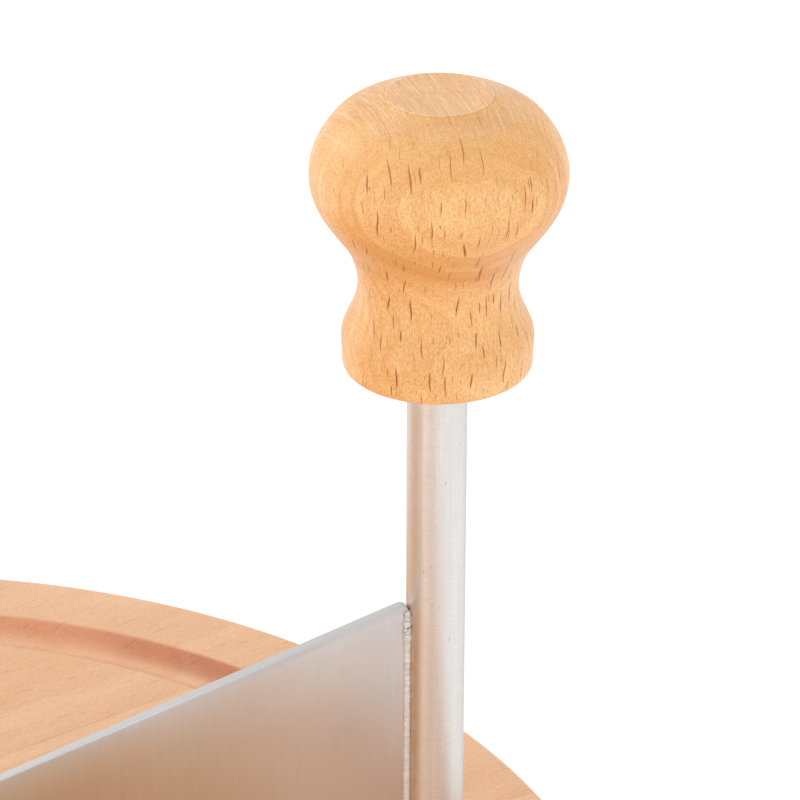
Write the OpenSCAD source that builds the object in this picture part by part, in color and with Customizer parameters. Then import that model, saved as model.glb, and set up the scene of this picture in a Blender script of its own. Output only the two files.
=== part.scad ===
// Cheese curler: a round beech board with a juice groove and a steel spindle.
// A scraper plate stands on edge between a hub on the spindle and a round
// post, and a turned beech knob on the post turns it like a crank.
// Units are millimetres, +Z is up, the spindle's axis is the Z axis, the board
// stands on its feet at z = 0 and the post stands on the +X side.

/* [Board] */
// Diameter of the round board
board_d = 220; // [200:1:240]
// Thickness of the board
board_t = 18; // [16:0.5:24]
// Radius of the board's top edge
board_edge_r = 2.5; // [1:0.5:4]
// Middle radius of the juice groove
groove_mid_r = 93.25; // [90:0.25:96]
// Width of the juice groove at the board's surface
groove_w = 8; // [6:0.5:9]
// Depth of the juice groove
groove_depth = 2; // [2:0.25:3.5]

/* [Feet] */
// Height of each rubber foot
foot_h = 5; // [4.5:0.5:7]
// Diameter of each rubber foot where it meets the board
foot_d = 18; // [16:1:22]
// Distance of each foot from the board's centre
foot_ring_r = 78; // [60:1:88]

/* [Spindle] */
// Diameter of the spindle
spindle_d = 8; // [8:0.5:8]
// Height of the spindle above the board
spindle_h = 130; // [115:1:145]
// Length of the spindle's pointed end
spindle_tip_h = 14; // [8:1:20]

/* [Hub] */
// Outer diameter of the hub sleeve
hub_d = 16; // [16:0.5:20]
// Length of the hub sleeve
hub_h = 22; // [20:1:26]

/* [Scraper plate] */
// Thickness of the plate
blade_t = 1.5; // [1:0.25:2]
// Height of the plate's top corner, at the post, above the board
blade_top_h = 42; // [40:1:48]
// Slope of the plate's top edge, in degrees down towards the hub
blade_slope = 15.5; // [12:0.5:18]
// Gap between the scraping edge and the board
blade_gap = 1; // [0.8:0.1:1.5]

/* [Post] */
// Diameter of the post
post_d = 8; // [8:0.5:8]
// Distance of the post's axis from the spindle's axis
post_r = 89; // [86:0.5:90]

/* [Knob] */
// Gap between the plate's top corner and the underside of the knob
knob_lift = 35.35; // [30:0.05:42]
// Height of the knob
knob_h = 38.25; // [36:0.25:40]
// Diameter of the bore for the brass bush
knob_bore_d = 12; // [11:0.5:13]

/* [Hidden] */
$fn = 96;

board_wood = "#e3b487";     // pale beech of the board
knob_wood = "#e2a568";      // golden lacquered beech
steel = "#c9c6c2";
zinc = "#b9bcc0";
nylon = "#ece9e2";
black_rubber = "#2c2c2e";
brass = "#c9a24e";

board_r = board_d / 2;
z_under = foot_h;                       // underside of the board
z_top = foot_h + board_t;               // top of the board
spindle_r = spindle_d / 2;
stud_r = 3;                             // threaded lower end of the spindle
well_r = 13;                            // counterbore under the board
well_h = 9;
seat_t = 1.5;                           // washer between board and spindle shoulder
z_seat = z_top + seat_t;
run_gap = 0.05;                         // radial clearance of a running fit
face_gap = 0.15;                        // axial clearance of a running face
bush_flange_t = 1.5;
bush_r = spindle_r + 1.2;               // outside of the bush
hub_r = hub_d / 2;
z_bush = z_seat + 0.05;
z_hub = z_bush + bush_flange_t + face_gap;
z_hub_top = z_hub + hub_h;
ring_t = 1.5;
z_blade = z_top + blade_gap;            // scraping edge
z_corner = z_top + blade_top_h;         // top corner of the plate at the post
post_rr = post_d / 2;
z_knob = z_corner + knob_lift;          // underside of the knob
pin_in_knob = 26.2;                     // how far the post reaches into the knob
bush_in_knob = 22;                      // length of the knob's brass bush
clip_t = 0.8;
clip_z = z_knob + 0.6 + bush_in_knob + 0.35;
weld_w = 0.95;

foot_screw_r = 1.5;

// Points along an arc, for the corners of turned profiles.
function arc(cx, cy, r, a0, a1, n = 8) =
    [for (i = [0 : n]) [cx + r * cos(a0 + (a1 - a0) * i / n), cy + r * sin(a0 + (a1 - a0) * i / n)]];

// Catmull-Rom curve through a list of points, n steps on each stretch.
function cr(a, b, c, d, t) =
    0.5 * (2 * b + (c - a) * t + (2 * a - 5 * b + 4 * c - d) * t * t + (3 * b - a - 3 * c + d) * t * t * t);
function smooth_path(p, n = 4) = concat(
    [for (i = [0 : len(p) - 2]) for (k = [0 : n - 1])
        cr(p[max(i - 1, 0)], p[i], p[i + 1], p[min(i + 2, len(p) - 1)], k / n)],
    [p[len(p) - 1]]);

// Turned outline of the knob, radius and height above its underside: a short
// round foot, a hollow neck, a full round head and a sanded flat on top.
knob_pts = [[12.05, 0], [12.35, 0.25], [12.5, 0.8], [12.55, 2.2], [12.65, 4.4], [12.4, 5.65],
            [11.8, 7.05], [10.9, 9.25], [10.5, 11.45], [10.6, 13.25], [11.1, 15.45], [12.1, 17.65],
            [14, 20.35], [15.7, 23.05], [16.6, 25.65], [16.7, 28.35], [16, 30.95], [14.7, 33.25],
            [13.1, 35.1], [10.9, 36.45], [8.6, 37.4], [6.85, 38.25]];

// Straight hole or rod along Z.
module rod(r, z0, z1) { translate([0, 0, z0]) cylinder(r = r, h = z1 - z0); }

// Plain ring along Z.
module ring(ri, ro, z0, z1) {
    difference() {
        rod(ro, z0, z1);
        rod(ri, z0 - 1, z1 + 1);
    }
}

// Washer with softened outer edges.
module washer(ri, ro, z0, z1, e = 0.25) {
    rotate_extrude()
        polygon([[ri, z0], [ro - e, z0], [ro, z0 + e], [ro, z1 - e], [ro - e, z1], [ri, z1]]);
}

// Places a child at each of the four feet.
module at_feet() {
    for (i = [0 : 3]) rotate([0, 0, 45 + 90 * i]) translate([foot_ring_r, 0, 0]) children();
}

// ---- the board and its feet ----

module board() {
    gr = (groove_w * groove_w / 4 + groove_depth * groove_depth) / (2 * groove_depth);
    color(board_wood)
    difference() {
        rotate_extrude($fn = 180)
            polygon(concat([[0, z_under]],
                arc(board_r - 2, z_under + 2, 2, -90, 0, 6),
                arc(board_r - board_edge_r, z_top - board_edge_r, board_edge_r, 0, 90, 8),
                [[0, z_top]]));
        rotate_extrude($fn = 180)
            translate([groove_mid_r, z_top - groove_depth + gr]) circle(r = gr, $fn = 64);
        rod(stud_r + 0.1, z_under - 1, z_top + 1);
        rod(well_r, z_under - 1, z_under + well_h);
        at_feet() rod(foot_screw_r, z_under - 1, z_under + 10);
    }
}

module rubber_feet() {
    r1 = foot_d / 2;
    color(black_rubber)
    at_feet()
        rotate_extrude()
            polygon(concat([[foot_screw_r + 0.2, foot_h], [foot_screw_r + 0.2, foot_h - 1.8],
                [4.3, foot_h - 1.8], [4.3, 0.4], [4.7, 0]],
                arc(r1 - 2, 1, 1, -90, -8, 6),
                [[r1, foot_h]]));
}

module foot_washers() {
    color(zinc)
    at_feet() washer(foot_screw_r + 0.2, 4.1, foot_h - 2.4, foot_h - 1.8, 0.15);
}

// Pan head with a cross recess, and a plain shank with a pointed end.
module foot_screws() {
    z1 = foot_h - 2.4;
    color(zinc)
    at_feet()
        difference() {
            union() {
                rotate_extrude()
                    polygon(concat([[0, z1]], [[0, z1 - 1.8]],
                        [[1.4, z1 - 1.8], [2.3, z1 - 1.55], [2.85, z1 - 1.1], [3, z1 - 0.6], [3, z1]]));
                rod(foot_screw_r, z1 - 0.1, z_under + 7.5);
                translate([0, 0, z_under + 7.5]) cylinder(r1 = foot_screw_r, r2 = 0.1, h = 2.3);
            }
            for (a = [0, 90]) rotate([0, 0, a])
                translate([-1.5, -0.3, z1 - 1.9]) cube([3, 0.6, 1.2]);
        }
}

// ---- the spindle and what holds it ----

module spindle() {
    zt = z_top + spindle_h;
    color(steel)
    rotate_extrude()
        polygon(concat(
            [[0, z_under - 1.2], [stud_r - 0.6, z_under - 1.2]],
            // thread rings on the length that stands proud of the nut
            [for (i = [0 : 1]) for (q = [[stud_r - 0.45, 0], [stud_r, 0.5]])
                [q[0], z_under - 1.2 + 0.3 + i * 1 + q[1]]],
            [[stud_r, z_under + 1.2], [stud_r, z_seat], [spindle_r, z_seat]],
            [[spindle_r, zt - spindle_tip_h]],
            arc(-spindle_tip_h * 2.2, zt - spindle_tip_h, spindle_r + spindle_tip_h * 2.2, 3, 17, 5),
            arc(0, zt - 1, 1, 25, 90, 5)));
}

module spindle_seat_washer() {
    color(zinc) washer(stud_r, 7.6, z_top, z_seat, 0.3);
}

module under_washer() {
    zc = z_under + well_h;
    color(zinc) washer(stud_r + 0.1, 9, zc - 1.4, zc, 0.2);
}

// Split ring, cut through at a slant.
module spring_washer() {
    zc = z_under + well_h - 1.4;
    color(zinc)
    difference() {
        ring(stud_r + 0.1, 5.4, zc - 1.5, zc);
        translate([4.2, 0, zc - 0.75]) rotate([25, 0, 0]) cube([4, 0.7, 5], center = true);
    }
}

module spindle_nut() {
    z1 = z_under + well_h - 2.9;
    z0 = z1 - 5;
    color(zinc)
    difference() {
        intersection() {
            translate([0, 0, z0]) cylinder(r = 5.77, h = 5, $fn = 6);
            rotate_extrude()
                polygon([[0, z0], [5.05, z0], [5.8, z0 + 0.5], [5.8, z1 - 0.5], [5.05, z1], [0, z1]]);
        }
        rod(stud_r, z0 - 1, z1 + 1);
        translate([0, 0, z0 - 0.01]) cylinder(r1 = stud_r + 0.45, r2 = stud_r, h = 0.46);
    }
}

// ---- the bush that slides on the spindle ----

module hub_bush() {
    color(nylon)
    difference() {
        union() {
            washer(0, 7.4, z_bush, z_bush + bush_flange_t, 0.3);
            rod(bush_r, z_bush + 0.5, z_hub_top + face_gap + ring_t);
        }
        rod(spindle_r + run_gap, z_bush - 1, z_hub_top + 5);
    }
}

module bush_retaining_ring() {
    z0 = z_hub_top + face_gap;
    color(nylon) washer(bush_r, 7.4, z0, z0 + ring_t, 0.3);
}

// ---- the crank: hub, plate, post and their welds ----

module hub_sleeve() {
    color(steel)
    difference() {
        rotate_extrude()
            polygon([[0, z_hub], [hub_r - 0.4, z_hub], [hub_r, z_hub + 0.4],
                     [hub_r, z_hub_top - 0.4], [hub_r - 0.4, z_hub_top], [0, z_hub_top]]);
        rod(bush_r + run_gap, z_hub - 1, z_hub_top + 1);
    }
}

module scraper_plate() {
    x1 = post_r - post_rr;
    drop = tan(blade_slope);
    zh = z_corner - (x1 - hub_r) * drop;
    color(steel)
    difference() {
        translate([0, blade_t / 2, 0]) rotate([90, 0, 0]) linear_extrude(blade_t)
            polygon(concat(
                [[hub_r - 1, z_blade + 4], [hub_r, z_blade + 4], [hub_r + 4, z_blade],
                 [x1 + 1, z_blade], [x1 + 1, z_corner - 1.6], [x1 - 0.3, z_corner - 1.6]],
                arc(x1 - 1.4, z_corner - 1.5, 1.1, 0, 90 + blade_slope, 6),
                [[hub_r - 1, zh - drop]]));
        // bevel ground on the trailing side of the scraping edge
        translate([hub_r - 2, 0, 0]) rotate([90, 0, 90]) linear_extrude(post_r)
            polygon([[-blade_t / 2 + 0.2, z_blade - 0.01], [blade_t / 2 + 0.01, z_blade + 3.2],
                     [blade_t / 2 + 1, z_blade + 3.2], [blade_t / 2 + 1, z_blade - 1],
                     [-blade_t / 2 + 0.2, z_blade - 1]]);
        translate([post_r, 0, 0]) rod(post_rr, z_blade - 1, z_corner + 1);
        rod(hub_r, z_blade - 1, z_corner + 1);
    }
}

module post() {
    zb = z_blade + 0.5;
    zt = z_knob + pin_in_knob;
    color(steel)
    translate([post_r, 0, 0])
    difference() {
        union() {
            rod(post_rr, zb + 0.8, zt - 0.8);
            translate([0, 0, zb]) cylinder(r1 = post_rr - 0.8, r2 = post_rr, h = 0.8);
            translate([0, 0, zt - 0.8]) cylinder(r1 = post_rr, r2 = post_rr - 0.8, h = 0.8);
        }
        ring(post_rr - 0.7, post_rr + 1, clip_z, clip_z + clip_t);
    }
}

// A fillet of weld on both sides of the plate, in the corner between the
// plate's face and a round of radius r whose axis is at x = cx; s is +1 where
// the plate lies on the round's +X side. Its inner face follows the round in
// three flats that lie against it.
module weld_pair(cx, r, s, z0, z1) {
    y0 = blade_t / 2;
    y1 = y0 + weld_w;
    a0 = asin(y0 / r);
    a1 = asin(y1 / r);
    n = 3;
    rt = r / cos((a1 - a0) / (2 * n)) + 0.01;
    x0 = r * cos(a0);
    for (m = [0, 1]) mirror([0, m, 0])
        translate([0, 0, z0]) linear_extrude(z1 - z0)
            polygon(concat(
                [[cx + s * (x0 + weld_w), y0], [cx + s * (x0 + weld_w * 0.4), y0 + weld_w * 0.62]],
                [for (i = [n : -1 : 0]) let (a = a0 + (a1 - a0) * i / n)
                    [cx + s * rt * cos(a), max(y0, rt * sin(a))]]));
}

module post_weld() {
    color(zinc) weld_pair(post_r, post_rr, -1, z_blade + 4, z_corner - 2);
}

module hub_weld() {
    color(zinc) weld_pair(0, hub_r, 1, z_hub + 2, z_corner - (post_r - post_rr - hub_r) * tan(blade_slope) - 1);
}

// Spring ring in the groove near the post's top, which keeps the knob on.
module knob_circlip() {
    color(zinc)
    translate([post_r, 0, 0])
    difference() {
        ring(post_rr - 0.7, 5.3, clip_z, clip_z + clip_t);
        rotate([0, 0, -30]) translate([2, -0.9, clip_z - 1]) cube([5, 1.8, 3]);
    }
}

// ---- the knob ----

module knob() {
    k = knob_h / 38.25;
    pts = [for (p = smooth_path(knob_pts, 4)) [p[0], z_knob + p[1] * k]];
    color(knob_wood)
    translate([post_r, 0, 0])
    difference() {
        rotate_extrude($fn = 128)
            polygon(concat([[0, z_knob]], pts, [[0, z_knob + knob_h]]));
        rod(knob_bore_d / 2, z_knob - 1, z_knob + pin_in_knob + 0.3);
    }
}

module knob_bush() {
    color(brass)
    translate([post_r, 0, 0])
        ring(post_rr + run_gap, knob_bore_d / 2, z_knob + 0.6, z_knob + 0.6 + bush_in_knob);
}

board();
rubber_feet();
foot_washers();
foot_screws();
spindle();
spindle_seat_washer();
under_washer();
spring_washer();
spindle_nut();
hub_bush();
bush_retaining_ring();
hub_sleeve();
scraper_plate();
post();
hub_weld();
post_weld();
knob_circlip();
knob();
knob_bush();
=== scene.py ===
import math
import random

import bmesh
import bpy
from mathutils import Matrix, Vector, noise


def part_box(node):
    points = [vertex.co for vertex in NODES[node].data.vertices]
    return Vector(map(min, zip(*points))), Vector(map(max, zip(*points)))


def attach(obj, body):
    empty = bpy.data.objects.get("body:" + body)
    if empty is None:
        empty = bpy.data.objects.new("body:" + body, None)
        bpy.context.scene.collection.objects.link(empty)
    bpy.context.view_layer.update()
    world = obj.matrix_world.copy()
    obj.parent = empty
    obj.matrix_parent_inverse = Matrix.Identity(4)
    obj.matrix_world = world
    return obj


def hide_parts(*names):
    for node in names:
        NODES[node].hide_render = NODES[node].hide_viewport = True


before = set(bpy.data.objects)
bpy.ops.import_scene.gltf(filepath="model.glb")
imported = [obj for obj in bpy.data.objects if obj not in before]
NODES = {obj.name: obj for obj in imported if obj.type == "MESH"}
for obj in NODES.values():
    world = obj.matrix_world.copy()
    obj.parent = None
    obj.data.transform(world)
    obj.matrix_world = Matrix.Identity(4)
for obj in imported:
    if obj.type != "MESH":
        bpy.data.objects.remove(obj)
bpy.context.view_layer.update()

MM = 0.001

# --------------------------------------------------------------------------
# sizes, all read from the frame, in millimetres
# --------------------------------------------------------------------------


def box_mm(node):
    lo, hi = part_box(node)
    return lo / MM, hi / MM


b_lo, b_hi = box_mm("board")
BOARD_R = 110.0 * round((b_hi.z - b_lo.z) / 18.0, 6)
Z_UNDER, Z_TOP = b_lo.z, b_hi.z
s_lo, s_hi = box_mm("spindle")
p_lo, p_hi = box_mm("post")
POST_X = round((p_lo.x + p_hi.x) / 2, 3)
POST_R = round((p_hi.x - p_lo.x) / 2, 2)
k_lo, k_hi = box_mm("knob")
Z_KNOB = round(k_lo.z, 3)
KNOB_H = k_hi.z - k_lo.z
sc_lo, sc_hi = box_mm("scraper_plate")
h_lo, h_hi = box_mm("hub_sleeve")
hb_lo, hb_hi = box_mm("hub_bush")
rr_lo, rr_hi = box_mm("bush_retaining_ring")
HUB_R = round((h_hi.x - h_lo.x) / 2, 2)
Z_EDGE = sc_lo.z
Z_CORNER = Z_EDGE - 1.0 + 42.0
G_MID, G_W, G_D = 93.25, 8.0, 2.0

# --------------------------------------------------------------------------
# node helpers
# --------------------------------------------------------------------------


class G:
    """Short-hand for building a node tree."""

    def __init__(self, name):
        self.mat = bpy.data.materials.new(name)
        self.mat.use_nodes = True
        self.nt = self.mat.node_tree
        for n in list(self.nt.nodes):
            self.nt.nodes.remove(n)
        self.out = self.nt.nodes.new("ShaderNodeOutputMaterial")
        self.bsdf = self.nt.nodes.new("ShaderNodeBsdfPrincipled")
        self.nt.links.new(self.bsdf.outputs[0], self.out.inputs[0])
        self.tc = self.nt.nodes.new("ShaderNodeTexCoord")
        v = self.nt.nodes.new("ShaderNodeVectorMath")
        v.operation = "SCALE"
        self.nt.links.new(self.tc.outputs["Object"], v.inputs[0])
        v.inputs["Scale"].default_value = 1000.0
        self.p = v.outputs[0]
        self.n = self.tc.outputs["Normal"]

    def put(self, sock, val):
        if isinstance(val, bpy.types.NodeSocket):
            self.nt.links.new(val, sock)
        elif val is not None:
            if sock.type == "VECTOR" and isinstance(val, tuple):
                val = val[:3]
            sock.default_value = val

    def m(self, op, a, b=None, c=None, clamp=False):
        n = self.nt.nodes.new("ShaderNodeMath")
        n.operation = op
        n.use_clamp = clamp
        self.put(n.inputs[0], a)
        if b is not None:
            self.put(n.inputs[1], b)
        if c is not None:
            self.put(n.inputs[2], c)
        return n.outputs[0]

    def add(self, a, b): return self.m("ADD", a, b)
    def sub(self, a, b): return self.m("SUBTRACT", a, b)
    def mul(self, a, b): return self.m("MULTIPLY", a, b)
    def div(self, a, b): return self.m("DIVIDE", a, b)
    def ab(self, a): return self.m("ABSOLUTE", a)

    def step(self, x, lo, hi, a=0.0, b=1.0):
        """Smooth step of x from lo to hi, giving a to b."""
        n = self.nt.nodes.new("ShaderNodeMapRange")
        n.interpolation_type = "SMOOTHSTEP"
        n.clamp = True
        self.put(n.inputs["Value"], x)
        self.put(n.inputs["From Min"], lo)
        self.put(n.inputs["From Max"], hi)
        self.put(n.inputs["To Min"], a)
        self.put(n.inputs["To Max"], b)
        return n.outputs[0]

    def lin(self, x, lo, hi, a=0.0, b=1.0):
        n = self.nt.nodes.new("ShaderNodeMapRange")
        n.clamp = True
        self.put(n.inputs["Value"], x)
        self.put(n.inputs["From Min"], lo)
        self.put(n.inputs["From Max"], hi)
        self.put(n.inputs["To Min"], a)
        self.put(n.inputs["To Max"], b)
        return n.outputs[0]

    def dot(self, v, k):
        n = self.nt.nodes.new("ShaderNodeVectorMath")
        n.operation = "DOT_PRODUCT"
        self.put(n.inputs[0], v)
        n.inputs[1].default_value = k
        return n.outputs["Value"]

    def xyz(self, x, y, z):
        n = self.nt.nodes.new("ShaderNodeCombineXYZ")
        self.put(n.inputs[0], x)
        self.put(n.inputs[1], y)
        self.put(n.inputs[2], z)
        return n.outputs[0]

    def split(self, v):
        n = self.nt.nodes.new("ShaderNodeSeparateXYZ")
        self.put(n.inputs[0], v)
        return n.outputs[0], n.outputs[1], n.outputs[2]

    def noise(self, v, scale=1.0, detail=2.0, rough=0.5, dist=0.0, col=False):
        n = self.nt.nodes.new("ShaderNodeTexNoise")
        self.put(n.inputs["Vector"], v)
        n.inputs["Scale"].default_value = scale
        n.inputs["Detail"].default_value = detail
        n.inputs["Roughness"].default_value = rough
        n.inputs["Distortion"].default_value = dist
        return n.outputs["Color"] if col else n.outputs[0]

    def voronoi(self, v, rnd=1.0, feature="F1"):
        n = self.nt.nodes.new("ShaderNodeTexVoronoi")
        n.feature = feature
        self.put(n.inputs["Vector"], v)
        n.inputs["Scale"].default_value = 1.0
        n.inputs["Randomness"].default_value = rnd
        return n

    def white(self, v, dims="3D"):
        n = self.nt.nodes.new("ShaderNodeTexWhiteNoise")
        n.noise_dimensions = dims
        if dims == "1D":
            self.put(n.inputs["W"], v)
        else:
            self.put(n.inputs["Vector"], v)
        return n

    def mix(self, f, a, b, mode="MIX"):
        n = self.nt.nodes.new("ShaderNodeMix")
        n.data_type = "RGBA"
        n.blend_type = mode
        n.clamp_factor = True
        self.put(n.inputs[0], f)
        self.put(n.inputs[6], a)
        self.put(n.inputs[7], b)
        return n.outputs[2]

    def ramp(self, f, stops, interp="LINEAR"):
        n = self.nt.nodes.new("ShaderNodeValToRGB")
        n.color_ramp.interpolation = interp
        e = n.color_ramp.elements
        while len(e) < len(stops):
            e.new(0.5)
        for i, (pos, c) in enumerate(stops):
            e[i].position = pos
            e[i].color = c
        self.put(n.inputs[0], f)
        return n.outputs[0]

    def gain(self, col, f):
        """Colour times a factor."""
        n = self.nt.nodes.new("ShaderNodeVectorMath")
        n.operation = "SCALE"
        self.put(n.inputs[0], col)
        self.put(n.inputs["Scale"], f)
        return n.outputs[0]

    def tone(self, col, f):
        """Lighter or darker by f, in wood's own way: the dark is warmer, the light paler."""
        t = self.sub(f, 1.0)
        k = self.xyz(self.m("MULTIPLY_ADD", t, 0.74, 1.0), self.m("MULTIPLY_ADD", t, 1.28, 1.0),
                     self.m("MULTIPLY_ADD", t, 2.0, 1.0))
        n = self.nt.nodes.new("ShaderNodeVectorMath")
        n.operation = "MULTIPLY"
        self.put(n.inputs[0], col)
        self.put(n.inputs[1], k)
        return n.outputs[0]

    def bump(self, height, strength, dist_mm, normal=None):
        n = self.nt.nodes.new("ShaderNodeBump")
        n.inputs["Strength"].default_value = strength
        n.inputs["Distance"].default_value = dist_mm * MM
        self.put(n.inputs["Height"], height)
        if normal is not None:
            self.put(n.inputs["Normal"], normal)
        return n.outputs[0]

    def set(self, **kw):
        for k, v in kw.items():
            self.put(self.bsdf.inputs[k.replace("_", " ")], v)


def rgb(r, g, b):
    """sRGB 0-255 to a linear RGBA colour."""
    def f(c):
        c /= 255.0
        return c / 12.92 if c <= 0.04045 else ((c + 0.055) / 1.055) ** 2.4
    return (f(r), f(g), f(b), 1.0)


# --------------------------------------------------------------------------
# materials
# --------------------------------------------------------------------------


def beech(g, A, B, Z, n_rad, n_tan, n_end, r0, ring_w, early, late, fleck, ray, seed,
          fleck_amt=1.0, ring_amt=1.0, streak_amt=1.0, cell=(1.75, 4.9), fw=0.088, fh=1.6, shift=0.0,
          hatch=1.0, fan=None):
    """Beech as a solid texture. A and B are the distances across the grain from the pith,
    Z the distance along it, all in millimetres. Returns colour, bump height and gloss change."""
    # broad wander of the grain
    slow = g.noise(g.xyz(g.mul(A, 0.045), g.mul(B, 0.045), g.mul(Z, 0.02)), 1.0, 2.0, 0.5, col=True)
    sx, sy, sz = g.split(slow)
    A2 = g.add(A, g.mul(g.sub(sx, 0.5), 7.0))
    B2 = g.add(B, g.mul(g.sub(sy, 0.5), 7.0))
    dist = g.m("SQRT", g.add(g.mul(A2, A2), g.mul(B2, B2)))
    ang = g.mul(g.m("ARCTAN2", A, B), r0)
    # growth rings: a slow rise to the late wood and a quicker fall
    jit = g.noise(g.xyz(g.mul(dist, 0.16), seed + 3.1, seed), 1.0, 1.0, 0.5)
    ph = g.add(g.div(dist, ring_w), g.mul(jit, 1.6))
    fr = g.m("FRACT", ph)
    up = g.step(fr, 0.15, 0.86)
    dn = g.step(fr, 0.86, 0.99, 1.0, 0.0)
    ring = g.mul(up, dn)
    yr = g.white(g.m("FLOOR", ph), "1D").outputs["Value"]
    ring = g.mul(ring, g.lin(yr, 0.0, 1.0, 0.45, 1.0))
    # on sawn-across grain the years hardly show
    end = g.step(g.ab(n_end), 0.40, 0.85)
    ring = g.mul(ring, g.sub(1.0, g.mul(end, 0.72)))
    # the band of tone that a whole year can carry
    tone = g.noise(g.xyz(g.add(g.mul(dist, 0.30), shift), g.mul(ang, 0.02), g.mul(Z, 0.015)), 1.0, 3.0, 0.6)
    col = g.mix(g.mul(ring, 0.42 * ring_amt), early, late)
    col = g.mix(g.mul(g.lin(tone, 0.38, 0.66, 0.0, 0.70 * ring_amt), g.sub(1.0, g.mul(end, 0.6))), col, late)
    # fibres and pores: fine streaks along the grain
    fib = g.noise(g.xyz(g.mul(ang, 2.6), g.mul(dist, 1.6), g.mul(Z, 0.10)), 1.0, 3.0, 0.6)
    por = g.noise(g.xyz(g.mul(A, 7.5), g.mul(B, 7.5), g.mul(Z, 1.15)), 1.0, 2.0, 0.6)
    mott = g.noise(g.xyz(g.mul(A, 6.2), g.mul(B, 6.2), g.mul(Z, 2.3)), 1.0, 3.0, 0.78)
    fine = g.add(g.lin(fib, 0.25, 0.75, -0.055 * streak_amt, 0.05 * streak_amt),
                 g.lin(por, 0.30, 0.72, -0.10 * streak_amt, 0.06 * streak_amt))
    # the tiny vessels tint the ground as much as they darken it
    grit = g.mul(g.step(mott, 0.42, 0.70), 0.27 * streak_amt)
    lift = g.mul(g.step(mott, 0.46, 0.28), 0.17 * streak_amt)
    col = g.tone(col, g.add(g.add(1.0, fine), g.sub(lift, grit)))
    # rays: ribbons thin across, a few millimetres tall along the grain, long towards the pith
    bend = g.mul(g.sub(g.noise(g.xyz(g.mul(ang, 0.25), seed, g.mul(Z, 0.22)), 1.0, 1.0, 0.5), 0.5), 1.1)
    t = g.add(ang, bend)
    masks = []
    for i, (ct, cz, w, h, keep, rad) in enumerate((
            (cell[0], cell[1], fw, fh, 0.30, 26.0),
            (cell[0] * 0.6, cell[1] * 0.5, fw * 0.55, fh * 0.5, 0.62, 16.0))):
        v = g.xyz(g.div(t, ct), g.div(Z, cz), g.add(g.div(dist, rad), seed + 7.3 * i))
        vo = g.voronoi(v, 0.84)
        px, py, pz = g.split(vo.outputs["Position"])
        vx, vy, vz = g.split(v)
        cr, cg, cb = g.split(vo.outputs["Color"])
        dt = g.mul(g.ab(g.sub(vx, px)), ct)
        dz = g.mul(g.ab(g.sub(vy, py)), cz)
        hh = g.lin(cr, 0.0, 1.0, h * 0.45, h * 1.35)
        q = g.div(dz, hh)
        ww = g.mul(g.lin(cg, 0.0, 1.0, w * 0.6, w * 1.25), g.m("MAXIMUM", g.sub(1.0, g.mul(q, q)), 0.0))
        mk = g.step(g.sub(ww, dt), -0.022, 0.03)
        inside = g.step(q, 0.9, 1.02, 1.0, 0.0)
        on = g.step(cb, keep, keep + 0.02)
        deep = g.lin(g.m("FRACT", g.mul(cr, 7.0)), 0.0, 1.0, 0.78, 1.0)
        masks.append(g.mul(g.mul(g.mul(mk, inside), on), deep))
    big, small = masks
    tang = g.step(g.ab(n_rad), 0.18, 0.62)
    flecks = g.m("MAXIMUM", big, g.mul(small, 0.75))
    flecks_dark = g.mul(flecks, g.mul(tang, fleck_amt))
    col = g.mix(flecks_dark, col, fleck)
    # on end grain and quarter faces the same rays read as fine pale lines
    across = ang
    if fan is not None:
        # the rays of this blank draw together the other way, and lie a little askew
        across = g.mul(g.sub(A, fan), g.m("MULTIPLY_ADD", g.sub(B, r0), 0.0067, 1.0))
    vr = g.noise(g.xyz(g.mul(across, 3.1), g.mul(dist, 0.16), g.mul(Z, 0.26)), 1.0, 2.0, 0.9)
    lines = g.step(vr, 0.51, 0.62)
    wax = g.noise(g.xyz(g.mul(A, 0.22), g.mul(B, 0.16), g.mul(Z, 0.2)), 1.0, 2.0, 0.5)
    show = g.mul(g.sub(1.0, tang), g.lin(wax, 0.35, 0.65, 0.35, 1.0))
    if fan is not None:
        # a flank that lies flat along the rays shows little of them
        show = g.mul(show, g.step(g.ab(n_tan), 0.80, 0.96, 1.0, 0.22))
    pale = g.mul(g.mul(lines, show), hatch)
    gaps = g.mul(g.mul(g.step(vr, 0.47, 0.36), show), hatch)
    col = g.mix(g.mul(pale, 0.14), col, ray)
    col = g.tone(col, g.add(1.0, g.sub(g.mul(pale, 0.12), g.mul(gaps, 0.10))))
    speck = g.noise(g.xyz(g.mul(A, 5.0), g.mul(B, 5.0), g.mul(Z, 0.3)), 1.0, 2.0, 0.7)
    col = g.tone(col, g.add(1.0, g.mul(g.lin(speck, 0.35, 0.7, -0.13, 0.10), end)))
    h = g.add(g.mul(fib, 0.30), g.mul(por, 0.55))
    h = g.sub(h, g.mul(flecks_dark, 0.55))
    h = g.add(h, g.mul(pale, 0.22))
    return col, h, flecks_dark


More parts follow.
